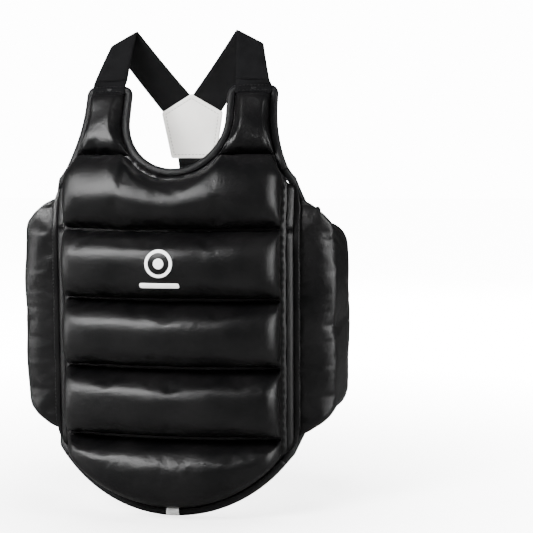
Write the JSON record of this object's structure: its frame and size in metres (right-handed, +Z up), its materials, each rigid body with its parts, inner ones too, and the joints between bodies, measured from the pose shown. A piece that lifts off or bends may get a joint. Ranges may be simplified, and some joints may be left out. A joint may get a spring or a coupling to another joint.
{
  "type": "chest protector",
  "caption": "Quilted chest protector with padded channels, shoulder tabs, folding padded side wings, waist belt with hook-and-loop closure and a crossed webbing harness with a leather yoke.",
  "frame": {"origin": "on the wearer's torso axis, at the height of the lowest point of the bound hem; X = 0 is the plane of symmetry", "axes": "+Z up along the wearer's torso, -Y out through the padded chest, +X towards the wearer's left side"},
  "size_m": [0.4342, 0.3143, 0.6285],
  "materials": {
    "black_leather": "gloss",
    "white_vinyl": "satin",
    "foam": "matte",
    "black_binding": "satin",
    "webbing": "matte",
    "hook_and_loop": "matte",
    "label_cloth": "satin",
    "ivory_leather": "satin"
  },
  "bodies": {
    "chest": {"front_cover": "black_leather", "chest_lining": "white_vinyl", "neck_binding": "black_binding", "hem_binding": "black_binding", "hem_tab": "white_vinyl", "care_label": "label_cloth", "left_strap_end": "webbing", "right_strap_end": "webbing", "left_tab_foam": "foam", "right_tab_foam": "foam", "foam_channel_1": "foam", "foam_channel_2": "foam", "foam_channel_3": "foam", "foam_channel_4": "foam", "foam_channel_5": "foam"},
    "left_side": {"left_side_cover": "black_leather", "left_side_foam": "foam", "left_side_lining": "white_vinyl", "left_side_top_binding": "black_binding", "left_side_low_binding": "black_binding", "left_front_welt": "black_leather"},
    "left_rear": {"left_rear_cover": "black_leather", "left_rear_foam": "foam", "left_rear_lining": "white_vinyl", "left_rear_binding": "black_binding", "left_rear_welt": "black_leather", "left_belt_anchor": "webbing"},
    "right_side": {"right_side_cover": "black_leather", "right_side_foam": "foam", "right_side_lining": "white_vinyl", "right_side_top_binding": "black_binding", "right_side_low_binding": "black_binding", "right_front_welt": "black_leather"},
    "right_rear": {"right_rear_cover": "black_leather", "right_rear_foam": "foam", "right_rear_lining": "white_vinyl", "right_rear_binding": "black_binding", "right_rear_welt": "black_leather", "right_belt_anchor": "webbing"},
    "left_belt_root": {"left_belt": "webbing"},
    "left_belt_end": {"left_belt_tail": "webbing", "hook_patch": "hook_and_loop"},
    "right_belt_end": {"right_belt": "webbing", "loop_patch": "hook_and_loop"},
    "harness": {"left_strap": "webbing", "right_strap": "webbing", "yoke_outer": "black_leather", "yoke_inner": "ivory_leather"},
    "back": {"back_strap": "webbing", "left_loop_leg": "webbing", "right_loop_leg": "webbing"}
  },
  "joints": [
    {"name": "left_wing_fold", "type": "hinge", "parent": "chest", "child": "left_side", "pos_m": [0.152, -0.08, 0.25], "axis": [0, 0, -1], "range_deg": [-5, 45]},
    {"name": "right_wing_fold", "type": "hinge", "parent": "chest", "child": "right_side", "pos_m": [-0.152, -0.08, 0.25], "axis": [0, 0, 1], "range_deg": [-5, 45]},
    {"name": "left_rear_fold", "type": "hinge", "parent": "left_side", "child": "left_rear", "pos_m": [0.177, 0.018, 0.24], "axis": [0, 0, -1], "range_deg": [-2.5, 22.5]},
    {"name": "right_rear_fold", "type": "hinge", "parent": "right_side", "child": "right_rear", "pos_m": [-0.177, 0.018, 0.24], "axis": [0, 0, 1], "range_deg": [-2.5, 22.5]},
    {"name": "left_belt_turn", "type": "hinge", "parent": "left_rear", "child": "left_belt_root", "pos_m": [0.14743, 0.16488, 0.241], "axis": [0, 0, 1], "range_deg": [-7.5, 67.5]},
    {"name": "right_belt_turn", "type": "hinge", "parent": "right_rear", "child": "right_belt_end", "pos_m": [-0.14743, 0.16488, 0.229], "axis": [0, 0, -1], "range_deg": [-7.5, 67.5]},
    {"name": "belt_peel", "type": "hinge", "parent": "left_belt_root", "child": "left_belt_end", "pos_m": [0.057, 0.16768, 0.241], "axis": [0, 0, -1], "range_deg": [0, 110]},
    {"name": "harness_swing", "type": "hinge", "parent": "chest", "child": "harness", "pos_m": [0, -0.02075, 0.5555], "axis": [1, 0, 0], "range_deg": [0, 70]},
    {"name": "back_strap_swing", "type": "hinge", "parent": "harness", "child": "back", "pos_m": [0, 0.064, 0.456], "axis": [1, 0, 0], "range_deg": [0, 60]}
  ],
  "couplings": [
    {"joint": "right_wing_fold", "follows": "left_wing_fold", "ratio": 1},
    {"joint": "left_rear_fold", "follows": "left_wing_fold", "ratio": 0.5},
    {"joint": "right_rear_fold", "follows": "left_wing_fold", "ratio": 0.5},
    {"joint": "left_belt_turn", "follows": "left_wing_fold", "ratio": 1.5},
    {"joint": "right_belt_turn", "follows": "left_wing_fold", "ratio": 1.5}
  ]
}
